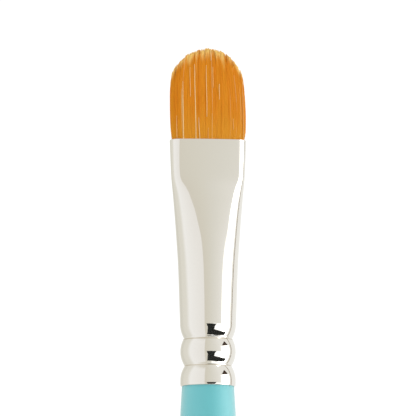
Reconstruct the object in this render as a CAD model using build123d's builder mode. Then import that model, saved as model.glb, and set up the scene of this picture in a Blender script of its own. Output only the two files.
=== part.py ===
from build123d import *

import math
import os

# A filbert artist's paint brush, tuft upwards, in millimetres.
#
# A turned birch handle is lacquered over its visible length. Its bare tenon is glued
# into a nickel-plated brass ferrule and held by two rolled crimps. The ferrule is a
# round tube pressed flat at its mouth. The tapered filaments are bound with thread and
# set in resin inside it, and leave the mouth as a flat tuft with a rounded end. The
# free tuft bends about a line just above the mouth.
#
# The origin is the centre of the handle's grip, where it is thickest. +Z runs up the
# brush to the tuft, and X runs along the width of the flat ferrule.

os.makedirs("parts", exist_ok=True)

# Main stations, as heights above the centre of the grip
rim_z = 30.0  # the ferrule's lower end
ferrule_length = 31.0
mouth_z = rim_z + ferrule_length
tuft_length = 11.7
tip_z = mouth_z + tuft_length
butt_z = -118.0

# Handle
grip_radius = 4.05
grip_length = 8.0
neck_radius = 3.25  # where the lacquered handle meets the ferrule
neck_slope = 0.062
butt_radius = 1.9
film = 0.12  # thickness of the lacquer
barrel = 0.02  # how far the wood swells under the lacquer at the middle of the grip
tenon_length = 12.5
tenon_chamfer = 0.5
handle_taper = [(3.62, -26.0), (2.78, -56.0), (2.12, -86.0)]  # (radius, height)

# Ferrule
wall = 0.35
tube_height = 10.0  # above the rim, where the round tube begins to turn flat
tube_radius = 3.575
lip_radius = 3.40
lip_height = 0.3
lip_flare = 0.04
lip_round = 0.12
crimp_radius = 2.90
crimp_fillet = 0.28
lower_crimp, upper_crimp = 2.5, 5.9  # heights above the rim
shoulder_height = 8.0  # above the rim, where the tube is full again
shoulder_radius = 3.50
# A point on each bulge between the crimps, from the rim up: (radius, height above it)
crimp_bulges = [(3.425, 1.2), (3.455, 4.2), (3.40, 7.05)]

# What fills the ferrule, as heights above the rim
glue_gap = 0.10
glue_base = 0.4
fit_gap = 0.04  # between the resin and its neighbours
binding_gap = 0.12  # between the resin and the outside of the thread
resin_base, resin_top = 13.4, 19.8
knot_base = 16.0  # the cut butts of the filaments
binding_base = 17.0
thread_diameter = 0.25
thread_pitch = 0.27
thread_turns = 8
points_per_turn = 12

# Tuft
bend_height = 1.2  # of the bending line above the mouth
bend_z = mouth_z + bend_height
knuckle_radius = 1.05
socket_clearance = 0.12
socket_drop = 0.7  # how far the socket's sides stop below the bending line
belly_half_thickness = 1.28
tip_half_thickness = 0.30
tip_round = 0.05
course_split = 0.5  # half the thickness of the middle course of filaments
clear_of_all = 20.0  # further than any part of the brush is wide

# Four-arc ovals up the ferrule: height above the rim, half width, half thickness, and
# the angle from the X axis at which a side arc meets a face arc. The last one lies at
# the crease, and above it the ferrule is pressed flat up to its mouth.
ferrule_ovals = [
    (tube_height, tube_radius, tube_radius, 45.0),
    (12.75, 3.66, 3.51, 47.0),
    (15.5, 3.77, 3.40, 52.0),
    (18.25, 3.95, 3.22, 58.0),
    (21.0, 4.15, 2.91, 66.0),
    (23.75, 4.38, 2.38, 75.0),
    (26.5, 4.63, 1.72, 82.0),
]
crease_oval = ferrule_ovals[-1]
mouth_oval = (ferrule_length, 4.82, 1.58, 84.0)

# The bound root of the filaments: a tied waist that spreads to fill the flat mouth
waist = (2.90, 2.10, 50.0)
waist_top = 19.9
spread = (21.8, 3.40, 2.20, 62.0)  # where it has spread halfway
bundle_gap = 0.12

# The tuft's outline on its flat side: (x, height above the mouth)
tuft_outline = [
    (-4.72, 0.0),
    (-4.82, 4.6),
    (-4.66, 7.5),
    (-3.95, 9.5),
    (-2.60, 10.9),
    (0.25, tuft_length),
    (2.30, 10.9),
    (3.45, 9.8),
    (4.36, 7.6),
    (4.72, 3.6),
    (4.77, 0.0),
]
tuft_half_width = 4.82
tuft_join_angle = 87.0

# The tuft's half thickness on its edge: (half thickness, height above the mouth)
tuft_edge = [(knuckle_radius, bend_height), (belly_half_thickness, 3.6), (0.90, 8.4)]
tip_slope = 0.12


def oval_sketch(height, half_width, half_thickness, join_angle, growth=0.0):
    """A four-arc oval across the brush, its arcs moved out by growth, at a height."""
    join = math.radians(join_angle)
    along = (half_width - half_thickness) / (1 + math.tan(join) - 1 / math.cos(join))
    across = along * math.tan(join)
    side_radius = half_width - along + growth
    face_radius = half_thickness + across + growth
    face_angle = 180 - 2 * join_angle
    with BuildSketch(Plane.XY.offset(rim_z + height)) as oval:
        with BuildLine():
            CenterArc((along, 0), side_radius, -join_angle, 2 * join_angle)
            CenterArc((0, -across), face_radius, join_angle, face_angle)
            CenterArc((-along, 0), side_radius, 180 - join_angle, 2 * join_angle)
            CenterArc((0, across), face_radius, 180 + join_angle, face_angle)
        make_face()
    return oval.sketch


def crimped_half(inset):
    """Half outline of the crimped end up to the round tube, its wall moved in by inset."""
    bulges = [(radius - inset, rim_z + height) for radius, height in crimp_bulges]
    lip = (lip_radius - inset, rim_z)
    lip_top = (lip_radius + lip_flare - inset, rim_z + lip_height)
    lower = (crimp_radius - inset, rim_z + lower_crimp)
    upper = (crimp_radius - inset, rim_z + upper_crimp)
    shoulder = (shoulder_radius - inset, rim_z + shoulder_height)
    tube = (tube_radius - inset, rim_z + tube_height)
    with BuildSketch(Plane.XZ) as half:
        with BuildLine():
            Line(lip, lip_top)
            ThreePointArc(lip_top, bulges[0], lower)
            ThreePointArc(lower, bulges[1], upper)
            ThreePointArc(upper, bulges[2], shoulder)
            Polyline(shoulder, tube, (0, rim_z + tube_height), (0, rim_z), lip)
        make_face()
        grooves = half.vertices().filter_by(
            lambda corner: math.isclose(corner.X, crimp_radius - inset, abs_tol=1e-6)
        )
        fillet(grooves, crimp_fillet)
    return half.sketch


def handle_half(inset, swell=0.0):
    """Half outline of the visible handle, moved in by inset, its grip bowed by swell."""
    down = (0, -1)
    tail_z = butt_z + butt_radius
    neck = (neck_radius - inset, rim_z)
    grip_top = (grip_radius - inset, grip_length / 2)
    grip_base = (grip_radius - inset, -grip_length / 2)
    tail = (butt_radius - inset, tail_z)
    taper = [(radius - inset, height) for radius, height in handle_taper]
    with BuildSketch(Plane.XZ) as half:
        with BuildLine():
            Spline(neck, grip_top, tangents=((neck_slope, -1), down))
            if swell:
                ThreePointArc(grip_top, (grip_radius - inset + swell, 0), grip_base)
            else:
                Line(grip_top, grip_base)
            Spline(grip_base, *taper, tail, tangents=(down, down))
            CenterArc((0, tail_z), butt_radius - inset, -90, 90)
            Polyline((0, butt_z + inset), (0, rim_z), neck)
        make_face()
    return half.sketch


# Handle: bare birch, with the tenon that goes up into the ferrule
with BuildPart() as handle_core:
    revolve(handle_half(film, barrel), axis=Axis.Z)
    revolve(crimped_half(wall + glue_gap), axis=Axis.Z)
    with BuildSketch(Plane.XY.offset(rim_z + tube_height)):
        Circle(tube_radius - wall - glue_gap)
    extrude(amount=tenon_length - tube_height)
    tenon_top = handle_core.edges().filter_by(GeomType.CIRCLE).sort_by(Axis.Z)[-1]
    chamfer(tenon_top, tenon_chamfer)
handle_core.part.label = "handle_core"
export_step(handle_core.part, "parts/handle_core.step")

# Lacquer: a thin closed skin over the visible handle
with BuildPart() as handle_lacquer:
    revolve(handle_half(0), axis=Axis.Z)
    revolve(handle_half(film, barrel), axis=Axis.Z, mode=Mode.SUBTRACT)
handle_lacquer.part.label = "handle_lacquer"
export_step(handle_lacquer.part, "parts/handle_lacquer.step")

# Ferrule: the crimped round tube below, and the pressed oval above
with BuildPart() as ferrule:
    revolve(crimped_half(0), axis=Axis.Z)
    lip_edge = ferrule.edges().filter_by(GeomType.CIRCLE).sort_by(Axis.Z)[0]
    fillet(lip_edge, lip_round)
    loft([oval_sketch(*oval) for oval in ferrule_ovals])
    loft([oval_sketch(*oval) for oval in (crease_oval, mouth_oval)])
    revolve(crimped_half(wall), axis=Axis.Z, mode=Mode.SUBTRACT)
    loft([oval_sketch(*oval, -wall) for oval in ferrule_ovals], mode=Mode.SUBTRACT)
    pressed_bore = [oval_sketch(*oval, -wall) for oval in (crease_oval, mouth_oval)]
    loft(pressed_bore, mode=Mode.SUBTRACT)
ferrule.part.label = "ferrule"
export_step(ferrule.part, "parts/ferrule.step")

# Glue: the film between the tenon and the ferrule
with BuildPart() as tenon_glue:
    revolve(crimped_half(wall), axis=Axis.Z)
    revolve(crimped_half(wall + glue_gap), axis=Axis.Z, mode=Mode.SUBTRACT)
    split(bisect_by=Plane.XY.offset(rim_z + glue_base), keep=Keep.TOP)
tenon_glue.part.label = "tenon_glue"
export_step(tenon_glue.part, "parts/tenon_glue.step")

# Thread: one length wound tightly around the waist of the filaments
with BuildPart() as binding_thread:
    turn_width = waist[0] + thread_diameter / 2 + fit_gap
    turn_thickness = waist[1] + thread_diameter / 2 + fit_gap
    winding_z = rim_z + binding_base + thread_diameter / 2
    steps = thread_turns * points_per_turn
    points = []
    for step in range(steps + 1):
        turns = step / points_per_turn
        angle = 2 * math.pi * turns
        point_x = turn_width * math.cos(angle)
        point_y = turn_thickness * math.sin(angle)
        points.append((point_x, point_y, winding_z + thread_pitch * turns))
    with BuildLine() as winding:
        Spline(*points)
    with BuildSketch(Plane(origin=winding.line @ 0, z_dir=winding.line % 0)):
        Circle(thread_diameter / 2)
    sweep(path=winding.line)
binding_thread.part.label = "binding_thread"
export_step(binding_thread.part, "parts/binding_thread.step")

# Root: the bound filaments inside the ferrule, up to the socket that the tuft bends in
with BuildPart() as filament_root:
    inset = wall + bundle_gap
    filling = [oval_sketch(*oval, -inset) for oval in ferrule_ovals[-2:]]
    mouth_filling = oval_sketch(*mouth_oval, -inset)
    extrude(oval_sketch(knot_base, *waist), amount=waist_top - knot_base)
    loft([oval_sketch(waist_top, *waist), oval_sketch(*spread), *filling])
    loft([filling[-1], mouth_filling])
    extrude(mouth_filling, amount=bend_height - socket_drop)
    with BuildSketch(Plane.YZ):
        with Locations((0, bend_z)):
            Circle(knuckle_radius + socket_clearance)
    extrude(amount=clear_of_all, both=True, mode=Mode.SUBTRACT)
filament_root.part.label = "filament_root"
export_step(filament_root.part, "parts/filament_root.step")

# Resin: fills the ferrule around the butts of the filaments and their binding
with BuildPart() as resin_plug:
    binding_room = thread_diameter + binding_gap
    binding_height = (thread_turns + 1) * thread_pitch + 2 * fit_gap
    loft([oval_sketch(*oval, -wall - fit_gap) for oval in ferrule_ovals])
    split(bisect_by=Plane.XY.offset(rim_z + resin_base), keep=Keep.TOP)
    split(bisect_by=Plane.XY.offset(rim_z + resin_top), keep=Keep.BOTTOM)
    extrude(
        oval_sketch(knot_base - fit_gap, *waist, fit_gap),
        amount=clear_of_all,
        mode=Mode.SUBTRACT,
    )
    extrude(
        oval_sketch(binding_base - fit_gap, *waist, binding_room),
        amount=binding_height,
        mode=Mode.SUBTRACT,
    )
resin_plug.part.label = "resin_plug"
export_step(resin_plug.part, "parts/resin_plug.step")

# Free tuft: the flat outline, the edge outline and the oval plan, all cut together
with BuildPart() as tuft:
    flat_points = [(x, mouth_z + height) for x, height in tuft_outline]
    with BuildSketch(Plane.XZ):
        with BuildLine():
            Spline(*flat_points)
            Line(flat_points[-1], flat_points[0])
        make_face()
    extrude(amount=clear_of_all, both=True)
    front = [(-y, mouth_z + height) for y, height in tuft_edge]
    back = [(y, mouth_z + height) for y, height in tuft_edge]
    front_tip = (-tip_half_thickness, tip_z)
    back_tip = (tip_half_thickness, tip_z)
    with BuildSketch(Plane.YZ):
        with BuildLine():
            Spline(*front, front_tip, tangents=((0, 1), (tip_slope, 1)))
            ThreePointArc(front_tip, (0, tip_z + tip_round), back_tip)
            Spline(back_tip, *reversed(back), tangents=((tip_slope, -1), (0, -1)))
            CenterArc((0, bend_z), knuckle_radius, 180, 180)
        make_face()
    extrude(amount=clear_of_all, both=True, mode=Mode.INTERSECT)
    extrude(
        oval_sketch(ferrule_length, tuft_half_width, belly_half_thickness, tuft_join_angle),
        amount=tuft_length + tip_round,
        mode=Mode.INTERSECT,
    )

# The tuft's three courses of filaments: one along each flat, and the belly between them
with BuildPart() as tuft_front_course:
    add(tuft.part)
    split(bisect_by=Plane.XZ.offset(course_split), keep=Keep.TOP)
tuft_front_course.part.label = "tuft_front_course"
export_step(tuft_front_course.part, "parts/tuft_front_course.step")

with BuildPart() as tuft_belly:
    add(tuft.part)
    split(bisect_by=Plane.XZ.offset(course_split), keep=Keep.BOTTOM)
    split(bisect_by=Plane.XZ.offset(-course_split), keep=Keep.TOP)
tuft_belly.part.label = "tuft_belly"
export_step(tuft_belly.part, "parts/tuft_belly.step")

with BuildPart() as tuft_back_course:
    add(tuft.part)
    split(bisect_by=Plane.XZ.offset(-course_split), keep=Keep.BOTTOM)
tuft_back_course.part.label = "tuft_back_course"
export_step(tuft_back_course.part, "parts/tuft_back_course.step")
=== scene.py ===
import math
import random

import bpy
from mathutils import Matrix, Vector


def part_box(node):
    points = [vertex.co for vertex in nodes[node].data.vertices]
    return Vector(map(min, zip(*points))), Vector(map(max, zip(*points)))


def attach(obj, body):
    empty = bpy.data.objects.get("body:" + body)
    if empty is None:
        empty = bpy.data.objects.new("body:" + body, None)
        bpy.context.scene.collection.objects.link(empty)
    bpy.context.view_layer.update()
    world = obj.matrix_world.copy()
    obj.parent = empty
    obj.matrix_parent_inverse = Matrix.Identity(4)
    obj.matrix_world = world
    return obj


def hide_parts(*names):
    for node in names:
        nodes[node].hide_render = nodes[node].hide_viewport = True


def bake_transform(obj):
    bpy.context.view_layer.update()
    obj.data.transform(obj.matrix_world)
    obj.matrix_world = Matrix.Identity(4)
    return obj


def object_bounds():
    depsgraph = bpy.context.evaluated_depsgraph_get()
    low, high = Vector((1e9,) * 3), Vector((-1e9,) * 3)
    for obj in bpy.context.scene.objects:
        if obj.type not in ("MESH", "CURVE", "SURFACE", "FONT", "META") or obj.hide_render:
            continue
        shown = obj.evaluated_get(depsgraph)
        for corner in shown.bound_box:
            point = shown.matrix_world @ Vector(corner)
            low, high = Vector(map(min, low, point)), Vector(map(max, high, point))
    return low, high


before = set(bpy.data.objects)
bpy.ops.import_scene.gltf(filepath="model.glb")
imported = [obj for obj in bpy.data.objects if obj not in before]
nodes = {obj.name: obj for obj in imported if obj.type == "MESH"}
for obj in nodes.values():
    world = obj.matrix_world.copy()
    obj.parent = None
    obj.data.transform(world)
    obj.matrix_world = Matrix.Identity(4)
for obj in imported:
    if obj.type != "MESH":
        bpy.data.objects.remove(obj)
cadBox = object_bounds()
print("frame loaded:", len(nodes), "nodes")

mm = 0.001
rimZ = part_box("ferrule")[0].z / mm  # heights below are in mm, like every shape here
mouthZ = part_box("ferrule")[1].z / mm
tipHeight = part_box("tuft_belly")[1].z / mm - mouthZ
buttZ = cadBox[0].z / mm


# Smooth curves through a few stops

def softStep(low, high, value):
    share = min(max((value - low) / (high - low), 0.0), 1.0)
    return share * share * (3 - 2 * share)


def hermite(low, high, lowSlope, highSlope, gap, share):
    squared = share * share
    cubed = squared * share
    return (
        low * (2 * cubed - 3 * squared + 1)
        + high * (3 * squared - 2 * cubed)
        + gap * lowSlope * (cubed - 2 * squared + share)
        + gap * highSlope * (cubed - squared)
    )


def slopesOf(stops):
    # slopes that never let the curve overshoot a stop
    steps = [(b[1] - a[1]) / (b[0] - a[0]) for a, b in zip(stops, stops[1:])]
    slopes = [steps[0]]
    for before, after in zip(steps, steps[1:]):
        slopes.append(2 * before * after / (before + after) if before * after > 0 else 0.0)
    slopes.append(steps[-1])
    return slopes


def through(stops):
    # a function of the first number that passes smoothly through every (place, value)
    slopes = slopesOf(stops)

    def value(at):
        if at <= stops[0][0]:
            return stops[0][1]
        for index in range(len(stops) - 1):
            low, high = stops[index], stops[index + 1]
            if at <= high[0]:
                gap = high[0] - low[0]
                share = (at - low[0]) / gap
                return hermite(low[1], high[1], slopes[index], slopes[index + 1], gap, share)
        return stops[-1][1]

    return value


# Shader sheets: arithmetic on sockets, and one way to make any other node

class Wire:
    def __init__(self, sheet, socket):
        self.sheet = sheet
        self.socket = socket

    def __add__(self, other):
        return self.sheet.calc("ADD", self, other)

    def __sub__(self, other):
        return self.sheet.calc("SUBTRACT", self, other)

    def __rsub__(self, other):
        return self.sheet.calc("SUBTRACT", other, self)

    def __mul__(self, other):
        return self.sheet.calc("MULTIPLY", self, other)

    def __truediv__(self, other):
        return self.sheet.calc("DIVIDE", self, other)

    def __rtruediv__(self, other):
        return self.sheet.calc("DIVIDE", other, self)

    __radd__ = __add__
    __rmul__ = __mul__


class Sheet:
    def __init__(self, tree):
        self.tree = tree
        tree.nodes.clear()

    def node(self, kind, settings=None, sockets=None, output=0):
        made = self.tree.nodes.new(kind)
        for name, value in (settings or {}).items():
            if name == "stops":
                self.setStops(made.color_ramp, value)
            else:
                setattr(made, name, value)
        for name, value in (sockets or {}).items():
            socket = made.inputs[name]
            if isinstance(value, Wire):
                self.tree.links.new(value.socket, socket)
            elif isinstance(value, tuple):
                socket.default_value = (*value, 1.0)[:len(socket.default_value)]
            else:
                socket.default_value = value
        return Wire(self, made.outputs[output]) if made.outputs else None

    def calc(self, operation, first, second=0.0):
        return self.node("ShaderNodeMath", {"operation": operation}, {0: first, 1: second})

    def setStops(self, ramp, stops):
        while len(ramp.elements) < len(stops):
            ramp.elements.new(0.5)
        for element, (place, colour) in zip(ramp.elements, stops):
            element.position = place
            element.color = (*colour, 1.0)

    def place(self, stretch):
        # the point on the object, in metres, with each axis multiplied by stretch
        point = self.node("ShaderNodeTexCoord", output="Object")
        settings = {"operation": "MULTIPLY"}
        return self.node("ShaderNodeVectorMath", settings, {0: point, 1: stretch})

    def height(self):
        # height above the ferrule's rim, in mm
        point = self.node("ShaderNodeTexCoord", output="Object")
        z = self.node("ShaderNodeSeparateXYZ", sockets={0: point}, output="Z")
        return z / mm - rimZ

    def noise(self, vector, detail=2.0, roughness=0.5):
        sockets = {"Vector": vector, "Scale": 1.0, "Detail": detail, "Roughness": roughness}
        return self.node("ShaderNodeTexNoise", sockets=sockets, output="Fac")

    def spread(self, value, low, high):
        # value's stretch from low to high, eased into 0 to 1
        settings = {"interpolation_type": "SMOOTHSTEP"}
        sockets = {"Value": value, "From Min": low, "From Max": high}
        return self.node("ShaderNodeMapRange", settings, sockets)

    def window(self, value, stops):
        # 1 between the two middle stops, eased down to 0 at the outer two
        start, full, fading, end = stops
        return self.spread(value, start, full) * self.spread(value, end, fading)

    def blend(self, share, first, second):
        # a Mix node keeps its factor in socket 0 and its two colours in 6 and 7
        sockets = {0: share, 6: first, 7: second}
        return self.node("ShaderNodeMix", {"data_type": "RGBA"}, sockets, output=2)

    def bump(self, height, depth, under=None):
        # height from 0 to 1 stands for depth, in mm, on top of the relief under it
        sockets = {"Strength": 1.0, "Distance": depth * mm, "Height": height}
        if under:
            sockets["Normal"] = under
        return self.node("ShaderNodeBump", sockets=sockets)


def newMaterial(name):
    material = bpy.data.materials.new(name)
    material.use_nodes = True
    return material, Sheet(material.node_tree)


def closeSheet(sheet, **sockets):
    # the last two nodes of a material: its surface and its output
    inputs = {key.replace("_", " "): value for key, value in sockets.items()}
    surface = sheet.node("ShaderNodeBsdfPrincipled", sockets=inputs)
    sheet.node("ShaderNodeOutputMaterial", sockets={"Surface": surface})


# Meshes made of rings

def joinRings(name, rings, material, closed=False):
    # quads between neighbouring rings, and a fan to any ring that is a single point
    points = []
    starts = []
    for ring in rings:
        starts.append(len(points))
        points += ring
    faces = []
    pairs = list(zip(range(len(rings) - 1), range(1, len(rings))))
    if closed:
        pairs.append((len(rings) - 1, 0))
    for low, high in pairs:
        lowCount, highCount = len(rings[low]), len(rings[high])
        sides = max(lowCount, highCount)
        for side in range(sides):
            after = (side + 1) % sides
            face = [starts[low] + side % lowCount, starts[low] + after % lowCount]
            face += [starts[high] + after % highCount, starts[high] + side % highCount]
            faces.append(list(dict.fromkeys(face)))
    mesh = bpy.data.meshes.new(name)
    mesh.from_pydata([(x * mm, y * mm, z * mm) for x, y, z in points], [], faces)
    mesh.materials.append(material)
    mesh.shade_smooth()
    mesh.update()
    piece = bpy.data.objects.new(name, mesh)
    bpy.context.scene.collection.objects.link(piece)
    return piece


def settle(piece, body, slot, *replaced):
    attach(piece, body)
    if replaced:
        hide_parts(*replaced)


# Ferrule

ferruleShape = {
    "wall": 0.3,
    "rim": 0.1,  # the lower end, above the nominal rim
    "lip": 0.1,  # rounding of both ends
    # each bead: height of its crown, half of its straight stretch, radius and bend
    "beads": [(0.69, 0.16, 3.456, 3.3), (4.45, 0.0, 3.455, 3.3), (7.95, 0.0, 3.50, 3.8)],
    "grooveRound": 0.05,
    "tubeHeight": 10.0,
    "tubeRadius": 3.575,
    "halfWidth": [
        (10.0, 3.575), (12.75, 3.66), (15.5, 3.77), (18.25, 3.95), (21.0, 4.15),
        (23.75, 4.38), (26.5, 4.63), (31.0, 4.82),
    ],
    "halfThickness": [
        (10.0, 3.575), (12.75, 3.51), (15.5, 3.42), (18.25, 3.25), (19.7, 3.10), (20.9, 2.98),
        (22.0, 2.83), (23.5, 2.54), (24.7, 2.13), (25.2, 1.91), (25.7, 1.71), (26.3, 1.55),
        (27.2, 1.49), (28.8, 1.52), (31.0, 1.59),
    ],
    "joinAngle": [
        (10.0, 45.0), (12.75, 50.0), (15.5, 58.0), (18.25, 66.0), (19.7, 71.5), (20.9, 74.0),
        (22.0, 75.3), (23.5, 77.0), (24.7, 78.0), (25.7, 79.2), (26.3, 80.8), (27.2, 82.0),
        (28.8, 83.0), (31.0, 84.5),
    ],
    "faceSides": 20,  # of half a face arc
    "edgeSides": 28,  # of half a side arc
    "crimpStep": 0.06,
    "tubeStep": 0.2,
    "boreStep": 0.5,
}
widthAt = through(ferruleShape["halfWidth"])
thicknessAt = through(ferruleShape["halfThickness"])
joinAt = through(ferruleShape["joinAngle"])


def beadRadius(height, bead):
    crown, straight, radius, bend = bead
    drop = min(max(abs(height - crown) - straight, 0.0), bend)
    return radius - bend + math.sqrt(bend * bend - drop * drop)


def crimpedRadius(height):
    # the widest bead wins at each height, with a small rounding where two meet
    shoulder = ferruleShape["beads"][-1]
    if height >= shoulder[0]:
        share = (height - shoulder[0]) / (ferruleShape["tubeHeight"] - shoulder[0])
        return shoulder[2] + (ferruleShape["tubeRadius"] - shoulder[2]) * share
    radii = sorted(beadRadius(height, bead) for bead in ferruleShape["beads"])
    near = max(ferruleShape["grooveRound"] - (radii[-1] - radii[-2]), 0.0)
    return radii[-1] + near * near / ferruleShape["grooveRound"] / 4


def ovalRing(height, inset):
    # a four-arc oval across the brush, starting at the middle of the front face
    if height < ferruleShape["tubeHeight"]:
        halfWidth = halfThickness = crimpedRadius(height)
        join = math.radians(45)
    else:
        halfWidth, halfThickness = widthAt(height), thicknessAt(height)
        join = math.radians(joinAt(height))
    along = (halfWidth - halfThickness) / (1 + math.tan(join) - 1 / math.cos(join))
    across = along * math.tan(join)
    sideRadius = halfWidth - along - inset
    faceRadius = halfThickness + across - inset
    quarter = []
    faceAngle = math.pi / 2 - join
    for step in range(ferruleShape["faceSides"]):
        turn = faceAngle * step / ferruleShape["faceSides"]
        quarter.append((faceRadius * math.sin(turn), across - faceRadius * math.cos(turn)))
    for step in range(ferruleShape["edgeSides"] + 1):
        turn = faceAngle + join * step / ferruleShape["edgeSides"]
        quarter.append((along + sideRadius * math.sin(turn), -sideRadius * math.cos(turn)))
    ring = quarter + [(x, -y) for x, y in quarter[-2::-1]]
    ring += [(-x, -y) for x, y in quarter[1:]] + [(-x, y) for x, y in quarter[-2:0:-1]]
    return [(x, y, rimZ + height) for x, y in ring]


def heightsBetween(low, high, step):
    count = max(round((high - low) / step), 1)
    return [low + (high - low) * index / count for index in range(count + 1)]


def ferruleSteps():
    # (height, inset) from the rim up the outside, over the mouth and down the bore
    lip, wall, top = ferruleShape["lip"], ferruleShape["wall"], mouthZ - rimZ
    corner = [math.radians(turn) for turn in (0, 22.5, 45, 67.5, 90)]
    tube = ferruleShape["tubeHeight"]
    low = ferruleShape["rim"] + lip
    steps = [(low - lip * math.sin(turn), lip - lip * math.cos(turn)) for turn in corner[::-1]]
    steps += [(height, 0.0) for height in heightsBetween(low, tube, ferruleShape["crimpStep"])[1:]]
    upper = heightsBetween(tube, top - lip, ferruleShape["tubeStep"])
    steps += [(height, 0.0) for height in upper[1:]]
    steps += [(top - lip + lip * math.sin(turn), lip - lip * math.cos(turn)) for turn in corner[1:]]
    steps += [(top, wall - lip / 2), (top - lip / 2, wall)]
    bore = heightsBetween(low - lip / 2, top - lip, ferruleShape["boreStep"])
    steps += [(height, wall) for height in bore[::-1]]
    steps.append((low - lip, wall - lip / 2))
    return steps


nickelLook = {
    "tint": (0.74, 0.718, 0.672),
    "crimpShade": (0.42, 0.33, 0.2),  # painted shade in the crimp grooves
    "crimpShadeShare": 0.55,
    "roughness": 0.055,
    "haze": 0.05,  # extra roughness where it has been handled
    "crimpRoughness": 0.12,
    "drawnLines": (14000, 14000, 260),  # how fine the drawn lines are across and up the tube
    "drawDepth": 0.00035,
    "dents": (260, 260, 170),
    "dentDepth": 0.002,
    "handling": (420, 420, 300),
    "grooves": (2.62, 5.9),  # heights of the two crimps
    "grooveWidth": 0.11,
}


def nickelPlate():
    material, sheet = newMaterial("nickelPlate")
    look = nickelLook
    drawn = sheet.noise(sheet.place(look["drawnLines"]), 3.0)
    dents = sheet.noise(sheet.place(look["dents"]), 1.0)
    handled = sheet.spread(sheet.noise(sheet.place(look["handling"]), 4.0), 0.5, 0.75)
    # painted shade: the two crimp grooves get a darker, browner colour, and more roughness
    away = [sheet.calc("ABSOLUTE", sheet.height() - groove) for groove in look["grooves"]]
    lowCrimpShade, highCrimpShade = [1 - sheet.spread(gap, 0.0, look["grooveWidth"]) for gap in away]
    crimpShade = lowCrimpShade + highCrimpShade
    shine = look["roughness"] + handled * look["haze"] + crimpShade * look["crimpRoughness"]
    relief = sheet.bump(drawn, look["drawDepth"])
    closeSheet(
        sheet,
        Base_Color=sheet.blend(crimpShade * look["crimpShadeShare"], look["tint"], look["crimpShade"]),
        Metallic=1.0,
        Roughness=shine,
        Normal=sheet.bump(dents, look["dentDepth"], relief),
    )
    return material


rings = [ovalRing(height, inset) for height, inset in ferruleSteps()]
ferruleShell = joinRings("ferrule_shell", rings, nickelPlate(), closed=True)
settle(ferruleShell, "handle", "nickel_plate", "ferrule")
print("ferrule made:", len(rings), "rings")


# Handle

handleShape = {
    "neck": (0.0, 3.25),  # height above the rim, radius
    "neckSlope": -0.062,
    "grip": (-26.0, -34.0, 4.05),  # top, base and radius of the straight stretch
    "taper": [(-56.0, 3.62), (-86.0, 2.78), (-116.0, 2.12)],
    "buttRadius": 1.9,
    "film": 0.12,
    "neckTop": 0.16,  # the lacquer runs up to here, inside the ferrule's lip
    "collar": 0.05,  # its rolled edge
    "step": 0.7,
    "sides": 144,
}
tailHeight = buttZ - rimZ + handleShape["buttRadius"]
gripTop, gripBase, gripRadius = handleShape["grip"]
taperStops = [(-gripTop, gripRadius), (-gripBase, gripRadius)]
taperStops += [(-height, radius) for height, radius in handleShape["taper"]]
taperAt = through(taperStops + [(-tailHeight, handleShape["buttRadius"])])


def handleRadius(height):
    if height < gripTop:
        return taperAt(-height)
    neckHeight, neckRadius = handleShape["neck"]
    gap = neckHeight - gripTop
    share = (height - gripTop) / gap
    return hermite(gripRadius, neckRadius, 0.0, handleShape["neckSlope"], gap, share)


def roundRing(radius, height, sides):
    if radius < 1e-6:
        return [(0.0, 0.0, rimZ + height)]
    turns = [2 * math.pi * side / sides for side in range(sides)]
    return [(radius * math.sin(turn), -radius * math.cos(turn), rimZ + height) for turn in turns]


def handleSteps(inset):
    # (radius, height) from the butt up to the neck
    butt = handleShape["buttRadius"]
    turns = [math.radians(turn) for turn in range(0, 90, 6)]
    size = butt - inset
    steps = [(size * math.sin(turn), tailHeight - size * math.cos(turn)) for turn in turns]
    top = handleShape["neckTop"] - handleShape["collar"]
    heights = heightsBetween(tailHeight, top, handleShape["step"])
    return steps + [(handleRadius(height) - inset, height) for height in heights]


lacquerLook = {
    "deep": (0.012, 0.458, 0.522),
    "pale": (0.024, 0.496, 0.566),
    "roughness": 0.55,
    "shine": 0.8,
    "coat": 1.0,
    "coatRoughness": 0.62,
    "coatBend": 1.95,
    "sheen": 0.56,  # the pale veil at the edges
    "sheenRoughness": 0.6,
    "peel": (2600, 2600, 1900),  # the sprayed coat's slight unevenness
    "peelDepth": 0.0012,
    "peelHaze": 0.06,
    "grain": (1500, 1500, 55),  # the wood's grain showing through
    "grainDepth": 0.004,
    "clouds": (160, 160, 60),
}


def turquoiseLacquer():
    material, sheet = newMaterial("turquoiseLacquer")
    look = lacquerLook
    peel = sheet.noise(sheet.place(look["peel"]), 2.0)
    grain = sheet.noise(sheet.place(look["grain"]), 3.0, 0.6)
    cloud = sheet.spread(sheet.noise(sheet.place(look["clouds"]), 3.0), 0.3, 0.7)
    relief = sheet.bump(grain, look["grainDepth"])
    closeSheet(
        sheet,
        Base_Color=sheet.blend(cloud, look["deep"], look["pale"]),
        Roughness=look["roughness"] + peel * look["peelHaze"],
        Specular_IOR_Level=look["shine"],
        Coat_Weight=look["coat"],
        Coat_Roughness=look["coatRoughness"],
        Coat_IOR=look["coatBend"],
        Sheen_Weight=look["sheen"],
        Sheen_Roughness=look["sheenRoughness"],
        Sheen_Tint=(1.0, 1.0, 1.0),
        Normal=sheet.bump(peel, look["peelDepth"], relief),
    )
    return material


outerSteps = handleSteps(0.0)
innerSteps = handleSteps(handleShape["film"])[::-1]
collar = handleShape["collar"]
neckRadius, neckHeight = outerSteps[-1]
turns = [math.radians(turn) for turn in (30, 60, 90)]
rolled = [(collar * (math.cos(turn) - 1), collar * math.sin(turn)) for turn in turns]
rolled = [(neckRadius + inward, neckHeight + rise) for inward, rise in rolled]
steps = outerSteps + rolled + innerSteps
rings = [roundRing(radius, height, handleShape["sides"]) for radius, height in steps]
handleSkin = joinRings("handle_skin", rings, turquoiseLacquer())
settle(handleSkin, "handle", "turquoise_lacquer", "handle_lacquer")
print("handle made:", len(rings), "rings")


# Filaments

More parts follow.
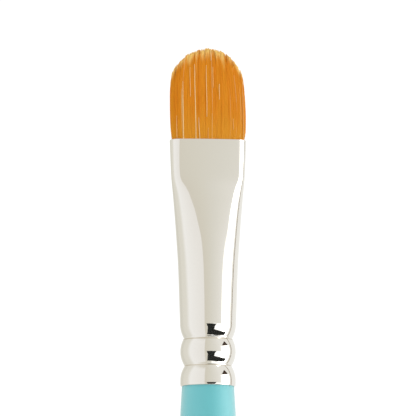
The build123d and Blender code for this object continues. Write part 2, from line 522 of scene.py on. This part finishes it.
tuftShape = {
    "rootDepth": 4.5,  # how far the modelled filaments run down into the ferrule
    # these three hold (height above the mouth, distance from the middle)
    "leftReach": [
        (-4.5, 4.22), (0.0, 4.46), (0.6, 4.60), (2.5, 4.71), (5.0, 4.77), (7.5, 4.66),
        (9.5, 4.36), (11.7, 3.9),
    ],
    "rightReach": [
        (-4.5, 4.22), (0.0, 4.46), (0.5, 4.64), (1.5, 4.71), (3.6, 4.68), (7.6, 4.40),
        (9.8, 4.02), (11.7, 3.5),
    ],
    "thickness": [
        (-4.5, 1.32), (0.0, 1.2), (1.0, 1.23), (3.6, 1.24), (8.4, 0.90), (10.5, 0.58), (11.7, 0.34),
    ],
    "crown": [  # (place across the brush, height)
        (-4.86, 4.0), (-4.80, 6.3), (-4.64, 7.7), (-4.42, 8.75), (-3.95, 9.5), (-3.2, 10.35),
        (-2.5, 11.0), (-1.7, 11.38), (0.25, 11.68), (1.5, 11.38), (2.2, 11.0), (2.95, 10.45),
        (3.5, 9.8), (3.9, 9.2), (4.2, 8.3), (4.4, 7.4), (4.6, 5.6), (4.74, 3.6),
    ],
    "crownDrop": 0.2,  # how much lower the filaments on the flats end
    "edgeFlat": 6.0,  # how square the tuft's ends are, seen from above
    "crowding": 3,  # the higher, the more filaments lie close to the flats
}
filamentShape = {
    "radius": (0.048, 0.068),
    "tipShare": 0.42,  # of the radius that is left at the tip
    "taperFrom": 0.72,
    "taperBend": 1.3,
    "sides": 5,
    "rings": 14,
    "ringBend": 1.35,  # above 1, the rings stand closer towards the tip
    "wander": 0.035,  # how far a filament waves across the brush
    "wanderDeep": 0.6,  # share of that through the thickness
    "wave": (5, 10),  # length of a wave
    "waveStart": 6.3,  # it starts anywhere in its turn
    "lean": 0.03,
    "freeFrom": 4.0,  # waves and lean grow up to this height
    "shortShare": 0.16,  # of the filaments that end early
    "short": (0.1, 1.3),
    "tone": (0.5, 0.13),  # middle and spread of the shades
    "bands": ((2.3, 0.6), (5.9, 2.0)),  # broad light and dark stripes: rate and start of two waves
    "bandDepth": 0.35,
    "paleShare": 0.02,
    "pale": (0.25, 0.6),
}
lockShape = {  # the small locks that the tips gather into
    "width": 0.62,
    "shift": 0.37,  # of a width, from one course's locks to the next one's
    "uneven": 0.2,
    "rise": (-0.16, 0.08),
    "gatherFrom": 0.78,  # share of a filament's height
}
courses = {  # layers are shares of half the thickness, and shorter is how much lower the tips end
    "front_filaments": {
        "layers": (-1.0, -0.42),
        "count": 1000,
        "seed": 11,
        "lockPull": 0.25,
        "shorter": (0.0, 0.12),
        "replaces": "tuft_front_course",
    },
    "belly_filaments": {
        "layers": (-0.42, 0.42),
        "count": 800,
        "seed": 12,
        "lockPull": 0.0,
        "shorter": (0.05, 0.7),
        "replaces": "tuft_belly",
    },
    "back_filaments": {
        "layers": (0.42, 1.0),
        "count": 1000,
        "seed": 13,
        "lockPull": 0.25,
        "shorter": (0.0, 0.12),
        "replaces": "tuft_back_course",
    },
}
strayShape = {
    # each hair: sideways place, its drift up the hair, the heights it runs between, and how pale
    "hairs": [
        (-3.23, -0.03, -1.0, 7.3, 1.0), (-1.64, -0.16, -1.0, 9.5, 1.0), (-0.28, -0.03, 2.8, 9.4, 0.75),
        (1.29, 0.02, 5.0, 7.0, 0.7), (-1.13, -0.16, -1.0, 2.7, 0.9), (-4.03, 0.0, -1.0, 2.9, 0.5),
        (-2.36, 0.0, 5.3, 9.1, 0.5), (4.38, -0.1, -1.0, 7.4, 0.3), (0.53, 0.0, 6.5, 9.2, 0.35),
        (3.05, 0.0, 1.2, 2.6, 0.35), (-0.12, 0.03, -1.0, 1.4, 0.3), (0.30, 0.04, 10.0, 11.6, 0.8),
    ],
    "seed": 5,
    "rings": 12,
    "reach": 4.9,  # where the front flat has curved away
    "standOff": 0.055,  # from the flat to the hair's middle
    "bow": 0.02,
    "bowShift": 0.2,
    "radius": 0.05,
    "thickest": 0.4,  # share of the hair's length
    "thinning": 0.528,  # of the radius, at the hair's tip
}
leftAt = through(tuftShape["leftReach"])
rightAt = through(tuftShape["rightReach"])
deepAt = through(tuftShape["thickness"])
crownAt = through(tuftShape["crown"])


def filamentPlace(side, layer, height):
    # side runs from -1 to 1 across the brush, and layer from the front flat to the back one
    reach = leftAt(height) if side < 0 else rightAt(height)
    fullness = math.sqrt(1 - min(abs(side), 1.0) ** tuftShape["edgeFlat"])
    return side * reach, layer * deepAt(height) * fullness


def tipOf(side):
    # the height where the filaments at this side meet the crown
    height = tipHeight * 0.7
    for _ in range(8):
        height = 0.5 * height + 0.5 * crownAt(filamentPlace(side, 0.0, height)[0])
    return height


def addFilament(parts, path, radii, tone, pale):
    # path is a list of (x, y, height); the rings are level, because filaments stand upright
    points, faces, facts = parts
    sides = filamentShape["sides"]
    turns = [2 * math.pi * side / sides for side in range(sides)]
    start = len(points)
    top = path[-1][2]
    for (x, y, height), radius in zip(path, radii):
        for turn in turns:
            dx, dy = radius * math.cos(turn), radius * math.sin(turn)
            points.append(((x + dx) * mm, (y + dy) * mm, (mouthZ + height) * mm))
            facts.append((tone, min(max(height / top, 0.0), 1.0), pale))
    for ring in range(len(path) - 1):
        low = start + ring * sides
        for side in range(sides):
            after = (side + 1) % sides
            faces.append((low + side, low + after, low + sides + after, low + sides + side))
    faces.append(tuple(range(start + sides - 1, start - 1, -1)))
    last = start + (len(path) - 1) * sides
    faces.append(tuple(range(last, last + sides)))


def lockAt(x, seed):
    # the middle of the lock that this place belongs to, and how tall the lock stands
    shift = lockShape["shift"] * seed
    index = math.floor(x / lockShape["width"] + shift)
    draw = random.Random(seed * 1000 + index)
    uneven = draw.uniform(-lockShape["uneven"], lockShape["uneven"])
    middle = (index + 0.5 + uneven - shift) * lockShape["width"]
    return middle, draw.uniform(*lockShape["rise"])


def drawLayer(course, draw):
    low, high = course["layers"]
    share = draw.random() ** tuftShape["crowding"]
    if abs(low) == abs(high):
        return draw.uniform(low, high)
    return low + (high - low) * (share if abs(low) > abs(high) else 1 - share)


def drawPath(side, layer, top, pull, draw):
    # the way one filament runs from its root to its top, and its radii
    look = filamentShape
    depth = tuftShape["rootDepth"]
    size = draw.uniform(*look["radius"])
    swing = draw.uniform(0, look["wander"])
    wave = draw.uniform(*look["wave"])
    phase = draw.uniform(0, look["waveStart"])
    lean = draw.gauss(0, look["lean"])
    path, radii = [], []
    for ring in range(look["rings"]):
        run = 1 - (1 - ring / (look["rings"] - 1)) ** look["ringBend"]
        height = -depth + (top + depth) * run
        x, y = filamentPlace(side, layer, height)
        free = softStep(0.0, look["freeFrom"], height)
        turn = phase + 2 * math.pi * height / wave
        x += free * (swing * math.sin(turn) + lean * height / top)
        x += pull * softStep(lockShape["gatherFrom"], 1.0, height / top)
        y += free * look["wanderDeep"] * swing * math.cos(turn)
        thin = max(height / top - look["taperFrom"], 0.0) / (1 - look["taperFrom"])
        path.append((x, y, height))
        radii.append(size * (1 - (1 - look["tipShare"]) * thin ** look["taperBend"]))
    return path, radii


def growCourse(course):
    draw = random.Random(course["seed"])
    parts = ([], [], [])
    look = filamentShape
    for index in range(course["count"]):
        side = -1 + 2 * (index + draw.uniform(0.1, 0.9)) / course["count"]
        layer = drawLayer(course, draw)
        tipX = filamentPlace(side, layer, tipHeight)[0]
        middle, lockRise = lockAt(tipX, course["seed"] % 3)
        top = tipOf(side) + lockRise - tuftShape["crownDrop"] * abs(layer) ** 3
        top -= draw.uniform(*course["shorter"])
        if draw.random() < look["shortShare"]:
            top -= draw.uniform(*look["short"])
        pull = (middle - tipX) * course["lockPull"]
        path, radii = drawPath(side, layer, top, pull, draw)
        first, second = [math.sin(tipX * rate + start) for rate, start in look["bands"]]
        tone = look["bandDepth"] * first * second + draw.gauss(*look["tone"])
        pale = draw.uniform(*look["pale"]) if draw.random() < look["paleShare"] else 0.0
        addFilament(parts, path, radii, min(max(tone, 0.0), 1.0), pale)
    return parts


def layStrayHairs(parts):
    # pale hairs that lie on the front
    look = strayShape
    draw = random.Random(look["seed"])
    for x, drift, low, high, pale in look["hairs"]:
        fullness = math.sqrt(1 - (abs(x) / look["reach"]) ** tuftShape["edgeFlat"])
        path, radii = [], []
        for ring in range(look["rings"]):
            share = ring / (look["rings"] - 1)
            height = low + (high - low) * share
            y = -deepAt(height) * fullness - look["standOff"]
            shift = draw.uniform(-look["bowShift"], look["bowShift"])
            bow = look["bow"] * math.sin(2 * math.pi * share + shift)
            path.append((x + drift * share + bow, y, height))
            away = abs(share - look["thickest"]) / (1 - look["thickest"])
            radii.append(look["radius"] * (1 - look["thinning"] * away ** 3))
        addFilament(parts, path, radii, 0.5, pale)


filamentLook = {
    "deep": (0.81, 0.252, 0.010),
    "body": (0.842, 0.30, 0.014),
    "gold": (0.872, 0.362, 0.021),
    "root": (0.842, 0.392, 0.033),
    # painted light: the pale tips stand in for the white backdrop shining through the thin tips
    "tip": (1.0, 0.70, 0.23),
    "stray": (1.0, 0.79, 0.40),
    "streaks": (900, 900, 130),
    "rootShare": 0.6,  # of the root's colour at the ferrule
    "rootUpTo": 0.45,  # share of a filament's height
    "tipFrom": (0.96, 1.09),  # where the painted backlight at the tips starts and would be whole
    "toneLift": 0.14,  # it starts lower in the lighter filaments
    "tipLightShare": 0.9,
    "roughness": 0.5,
    "sheen": 0.09,  # strength of the plain reflection
    "glow": (0.95, 0.42, 0.04),  # colour of the light that passes through a filament
    "through": 0.18,  # share of that light in the body
    "tipThrough": -0.14,  # change of that share towards the tip
}


def goldenFilament():
    material, sheet = newMaterial("goldenFilament")
    look = filamentLook
    fact = sheet.node("ShaderNodeAttribute", {"attribute_name": "filament"}, output="Vector")
    tone = sheet.node("ShaderNodeSeparateXYZ", sockets={0: fact}, output="X")
    run = sheet.node("ShaderNodeSeparateXYZ", sockets={0: fact}, output="Y")
    pale = sheet.node("ShaderNodeSeparateXYZ", sockets={0: fact}, output="Z")
    stops = [(0.0, look["deep"]), (0.5, look["body"]), (1.0, look["gold"])]
    streak = sheet.noise(sheet.place(look["streaks"]), 2.0)
    shade = tone * 0.6 + streak * 0.4
    colour = sheet.node("ShaderNodeValToRGB", {"stops": stops}, {"Fac": shade}, output="Color")
    rootward = sheet.spread(run, look["rootUpTo"], 0.0)
    colour = sheet.blend(rootward * look["rootShare"], colour, look["root"])
    tipward = sheet.spread(run + tone * look["toneLift"], *look["tipFrom"])
    # the colour turns pale towards the tips: painted backlight, besides the real translucency below
    colour = sheet.blend(tipward * look["tipLightShare"], colour, look["tip"])
    colour = sheet.blend(pale, colour, look["stray"])
    sockets = {
        "Base Color": colour,
        "Roughness": look["roughness"] - run * 0.08 + streak * 0.05,
        "Specular IOR Level": look["sheen"],
    }
    surface = sheet.node("ShaderNodeBsdfPrincipled", sockets=sockets)
    passing = sheet.node("ShaderNodeBsdfTranslucent", sockets={"Color": look["glow"]})
    sockets = {0: look["through"] + tipward * look["tipThrough"], 1: surface, 2: passing}
    mixed = sheet.node("ShaderNodeMixShader", sockets=sockets)
    sheet.node("ShaderNodeOutputMaterial", sockets={"Surface": mixed})
    return material


filamentMaterial = goldenFilament()
for name, course in courses.items():
    parts = growCourse(course)
    if name == "front_filaments":
        layStrayHairs(parts)
    points, faces, facts = parts
    mesh = bpy.data.meshes.new(name)
    mesh.from_pydata(points, [], faces)
    fact = mesh.attributes.new("filament", "FLOAT_VECTOR", "POINT")
    fact.data.foreach_set("vector", [number for row in facts for number in row])
    mesh.materials.append(filamentMaterial)
    mesh.shade_smooth()
    piece = bpy.data.objects.new(name, mesh)
    bpy.context.scene.collection.objects.link(piece)
    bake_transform(piece)
    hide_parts(course["replaces"])
    print(name, "made:", course["count"], "filaments,", len(faces), "faces")


# The bound root, below the modelled filaments

rootShape = {
    "bottom": 16.0,
    "waist": (2.9, 2.1),  # half its width and half its thickness
    "waistTop": 19.9,
    "fullFrom": 24.0,  # from here up it fills the ferrule's bore
    "top": 27.2,
    "gap": 0.42,  # from the ferrule's outside to the root
    "step": 0.3,
}
rootLook = {
    "dark": (0.30, 0.10, 0.012),
    "light": (0.60, 0.27, 0.04),
    "soaked": (0.22, 0.10, 0.03),  # where glue has soaked in
    "streaks": (5200, 5200, 90),
    "patches": (500, 500, 300),
}


def boundFilament():
    material, sheet = newMaterial("boundFilament")
    look = rootLook
    streak = sheet.noise(sheet.place(look["streaks"]), 2.0)
    soaked = sheet.noise(sheet.place(look["patches"]), 3.0)
    colour = sheet.blend(sheet.spread(streak, 0.35, 0.65), look["dark"], look["light"])
    closeSheet(
        sheet,
        Base_Color=sheet.blend(soaked * 0.5, colour, look["soaked"]),
        Roughness=0.35 + soaked * 0.25,
        Normal=sheet.bump(streak, 0.05),
    )
    return material


def waistRing(height):
    # an oval waist that spreads to the ferrule's own bore
    spread = softStep(rootShape["waistTop"], rootShape["fullFrom"], height)
    halfWidth, halfThickness = rootShape["waist"]
    ring = []
    for x, y, z in ovalRing(height, rootShape["gap"]):
        turn = math.atan2(y, x)
        waistX, waistY = halfWidth * math.cos(turn), halfThickness * math.sin(turn)
        ring.append((waistX + (x - waistX) * spread, waistY + (y - waistY) * spread, z))
    return ring


bottom, top = rootShape["bottom"], rootShape["top"]
rings = [waistRing(height) for height in heightsBetween(bottom, top, rootShape["step"])]
rings = [[(0.0, 0.0, rimZ + bottom)]] + rings + [[(0.0, 0.0, rimZ + top)]]
boundRoot = joinRings("bound_root", rings, boundFilament())
settle(boundRoot, "handle", "bound_filament", "filament_root")
print("bound root made:", len(rings), "rings")


# What the ferrule hides keeps its own shape and gets its own finish

birchLook = {
    "pale": (0.70, 0.51, 0.31),
    "dark": (0.52, 0.34, 0.17),
    "fleck": (0.34, 0.2, 0.09),
    "grain": (900, 900, 24),
    "flecks": (5200, 5200, 420),
}


def birchWood():
    material, sheet = newMaterial("birchWood")
    look = birchLook
    grain = sheet.noise(sheet.place(look["grain"]), 4.0, 0.6)
    fleck = sheet.noise(sheet.place(look["flecks"]), 2.0)
    colour = sheet.blend(sheet.spread(grain, 0.3, 0.7), look["pale"], look["dark"])
    closeSheet(
        sheet,
        Base_Color=sheet.blend(sheet.spread(fleck, 0.6, 0.72) * 0.4, colour, look["fleck"]),
        Roughness=0.62 + grain * 0.15,
        Normal=sheet.bump(grain, 0.02),
    )
    return material


glueLook = {"thick": (0.42, 0.28, 0.10), "thin": (0.60, 0.45, 0.2), "clouds": (700, 700, 700)}


def curedGlue():
    material, sheet = newMaterial("curedGlue")
    cloud = sheet.noise(sheet.place(glueLook["clouds"]), 3.0)
    colour = sheet.blend(cloud, glueLook["thick"], glueLook["thin"])
    closeSheet(sheet, Base_Color=colour, Roughness=0.3 + cloud * 0.3, Normal=sheet.bump(cloud, 0.03))
    return material


resinLook = {"body": (0.22, 0.11, 0.03), "bubble": (0.42, 0.26, 0.1), "bubbles": (2200, 2200, 2200)}


def settingResin():
    material, sheet = newMaterial("settingResin")
    bubbles = sheet.noise(sheet.place(resinLook["bubbles"]), 1.0)
    colour = sheet.blend(sheet.spread(bubbles, 0.6, 0.7), resinLook["body"], resinLook["bubble"])
    closeSheet(sheet, Base_Color=colour, Roughness=0.12 + bubbles * 0.15, Coat_Weight=0.4)
    return material


threadLook = {"shade": (0.56, 0.5, 0.4), "strand": (0.84, 0.8, 0.7), "twist": (7000, 7000, 9000)}


def waxedThread():
    material, sheet = newMaterial("waxedThread")
    twist = sheet.noise(sheet.place(threadLook["twist"]), 2.0)
    colour = sheet.blend(sheet.spread(twist, 0.35, 0.65), threadLook["shade"], threadLook["strand"])
    closeSheet(sheet, Base_Color=colour, Roughness=0.55 + twist * 0.2, Normal=sheet.bump(twist, 0.03))
    return material


innerFinishes = {
    "handle_core": birchWood,
    "tenon_glue": curedGlue,
    "resin_plug": settingResin,
    "binding_thread": waxedThread,
}
for name, makeFinish in innerFinishes.items():
    finish = makeFinish()
    for slot in nodes[name].material_slots:
        slot.material = finish
print("inner finishes given:", len(innerFinishes))


# Studio

studio = {
    "cameraAzimuth": -6.0,
    "cameraElevation": -7.0,
    "cameraDistance": 0.5,
    "frameWidth": 0.052,
    "aimHeight": 22.46,  # above the rim, in mm
    "sensor": 36.0,
    "backdrop": (1.0, 1.0, 1.0),
    "floorTone": (0.86, 0.855, 0.84),
    "floorReach": 1.6,
    "cardCentre": 4.0,  # height of the cards' centre above the rim, in mm
    "brightness": 1.08,
    "air": [  # degrees to the right of the camera, as seen from the brush, and the light from there
        (-180, (0.95, 0.95, 0.93)),
        (-150, (0.77, 0.755, 0.69)),
        (-137, (0.76, 0.75, 0.685)),
        (-119, (0.86, 0.85, 0.79)),
        (-96, (0.885, 0.875, 0.82)),
        (-13, (0.78, 0.75, 0.67)),
        (3, (0.81, 0.79, 0.715)),
        (19, (0.845, 0.835, 0.78)),
        (35, (0.90, 0.89, 0.845)),
        (54, (0.97, 0.965, 0.94)),
        (60, (0.97, 0.965, 0.94)),
        (104, (0.97, 0.965, 0.94)),
        (125, (1.0, 1.0, 0.98)),
        (150, (0.98, 0.98, 0.96)),
        (180, (0.95, 0.95, 0.93)),
    ],
}
# Each box adds its glow: it starts, is full, starts to fade and is gone at these angles
softBoxes = {
    "leftBox": {
        "turns": (-100, -76, -14.5, -13),
        "lifts": (-54, -46, 42, 60),
        "glow": (0.19, 0.21, 0.28),
    },
    "keyBox": {
        "turns": (53.5, 67, 92, 104),
        "lifts": (-54, -46, 16, 21),
        "glow": (2.6, 2.6, 2.55),
    },
    "tableCard": {
        "turns": (19, 22, 92, 104),
        "lifts": (-60, -48, -3.0, -1.0),
        "glow": (0.6, 0.62, 0.66),
    },
}


def towards(azimuth, elevation):
    turn, lift = math.radians(azimuth), math.radians(elevation)
    flat = math.cos(lift)
    return Vector((math.sin(turn) * flat, -math.cos(turn) * flat, math.sin(lift)))


aim = Vector((0.0, 0.0, (rimZ + studio["aimHeight"]) * mm))
away = towards(studio["cameraAzimuth"], studio["cameraElevation"])
cameraData = bpy.data.cameras.new("camera")
cameraData.sensor_width = studio["sensor"]
cameraData.lens = studio["sensor"] * studio["cameraDistance"] / studio["frameWidth"]
cameraData.clip_start = 0.01
camera = bpy.data.objects.new("camera", cameraData)
camera.location = aim + away * studio["cameraDistance"]
camera.rotation_mode = "QUATERNION"
camera.rotation_quaternion = away.to_track_quat("Z", "Y")
bpy.context.scene.collection.objects.link(camera)
bpy.context.scene.camera = camera
bpy.context.scene.view_settings.view_transform = "Standard"


def studioAir():
    # the soft boxes and walls round the brush, as light that comes from each direction
    world = bpy.data.worlds.new("studioAir")
    world.use_nodes = True
    sheet = Sheet(world.node_tree)
    direction = sheet.node("ShaderNodeTexCoord", output="Generated")
    x = sheet.node("ShaderNodeSeparateXYZ", sockets={0: direction}, output="X")
    y = sheet.node("ShaderNodeSeparateXYZ", sockets={0: direction}, output="Y")
    z = sheet.node("ShaderNodeSeparateXYZ", sockets={0: direction}, output="Z")
    turn = sheet.calc("ARCTAN2", x, y * -1.0) * math.degrees(1.0) - studio["cameraAzimuth"]
    turn = sheet.node("ShaderNodeMath", {"operation": "WRAP"}, {0: turn, 1: 180.0, 2: -180.0})
    lift = sheet.calc("ARCSINE", z) * math.degrees(1.0)
    stops = [((place + 180) / 360, tone) for place, tone in studio["air"]]
    air = sheet.node("ShaderNodeValToRGB", {"stops": stops}, {"Fac": turn / 360 + 0.5}, output="Color")
    for box in softBoxes.values():
        mask = sheet.window(turn, box["turns"]) * sheet.window(lift, box["lifts"])
        sockets = {0: box["glow"], "Scale": mask}
        glow = sheet.node("ShaderNodeVectorMath", {"operation": "SCALE"}, sockets)
        air = sheet.node("ShaderNodeVectorMath", {"operation": "ADD"}, {0: air, 1: glow})
    seen = sheet.node("ShaderNodeLightPath", output="Is Camera Ray")
    air = sheet.blend(seen, air, studio["backdrop"])
    lit = sheet.node("ShaderNodeBackground", sockets={"Color": air, "Strength": studio["brightness"]})
    sheet.node("ShaderNodeOutputWorld", sockets={"Surface": lit})
    return world


bpy.context.scene.world = studioAir()

stageCards = {  # things round the set that only show in reflections: corners as (turn, lift)
    "stand": {
        "reach": 0.1,
        "glow": 0.0,
        "tone": (0.014, 0.016, 0.016),
        "corners": [
            (-6, -1.5), (36, -1.5), (31, -7), (28, -13), (28, -22), (54, -24), (86, -21.5),
            (90, -25), (88, -32), (58, -41), (20, -44), (-5, -44), (-3, -36), (-1, -14), (-4, -8),
        ],
    },
    "clamp": {
        "reach": 0.3,
        "glow": 0.0,
        "tone": (0.06, 0.03, 0.015),
        "corners": [(60, 19), (96, 18), (84, 34)],
    },
    "fillCard": {  # the key light's upper part, close in, where only the ferrule's shoulder shows it
        "reach": 0.02,
        "glow": 3.5,
        "tone": (0.97, 0.965, 0.94),
        "corners": [(58.5, 46), (97, 46), (97, 64), (58.5, 64)],
    },
    "boxFrame": {
        "reach": 0.5,
        "glow": 0.0,
        "tone": (0.30, 0.20, 0.09),
        "corners": [(111.0, -30), (114.5, -30), (114.5, 50), (111.0, 50)],
    },
}


def stageCard(name, card):
    # a flat card that faces the brush, cut along its corners
    material, sheet = newMaterial(name + "Tone")
    mottle = sheet.noise(sheet.place((60, 60, 60)), 2.0)
    tone = (0.0, 0.0, 0.0) if card["glow"] else card["tone"]
    closeSheet(
        sheet,
        Base_Color=sheet.blend(mottle, tone, tuple(part * 0.8 for part in tone)),
        Roughness=0.9,
        Emission_Color=card["tone"],
        Emission_Strength=card["glow"],
    )
    turns = [turn for turn, lift in card["corners"]]
    middle = (min(turns) + max(turns)) / 2
    points = []
    for turn, lift in card["corners"]:
        out = card["reach"] / math.cos(math.radians(turn - middle))
        level = towards(studio["cameraAzimuth"] + turn, 0.0) * out
        rise = out * math.tan(math.radians(lift))
        points.append(level + Vector((0.0, 0.0, (rimZ + studio["cardCentre"]) * mm + rise)))
    mesh = bpy.data.meshes.new(name)
    mesh.from_pydata(points, [], [tuple(range(len(points)))])
    mesh.materials.append(material)
    made = bpy.data.objects.new(name, mesh)
    bpy.context.scene.collection.objects.link(made)
    made.visible_camera = False
    made.visible_diffuse = False
    made.visible_shadow = False


for name, card in stageCards.items():
    stageCard(name, card)

floorMaterial, sheet = newMaterial("paleFloor")
mottle = sheet.noise(sheet.place((30, 30, 30)), 4.0)
floorDark = tuple(part * 0.96 for part in studio["floorTone"])
closeSheet(sheet, Base_Color=sheet.blend(mottle, floorDark, studio["floorTone"]), Roughness=0.8)
floorMesh = bpy.data.meshes.new("floor")
reach = studio["floorReach"]
corners = [(-reach, -reach), (reach, -reach), (reach, reach), (-reach, reach)]
floorMesh.from_pydata([(x, y, buttZ * mm) for x, y in corners], [], [(0, 1, 2, 3)])
floorMesh.materials.append(floorMaterial)
floor = bpy.data.objects.new("floor", floorMesh)
bpy.context.scene.collection.objects.link(floor)
floor.visible_glossy = False

print("studio lit")
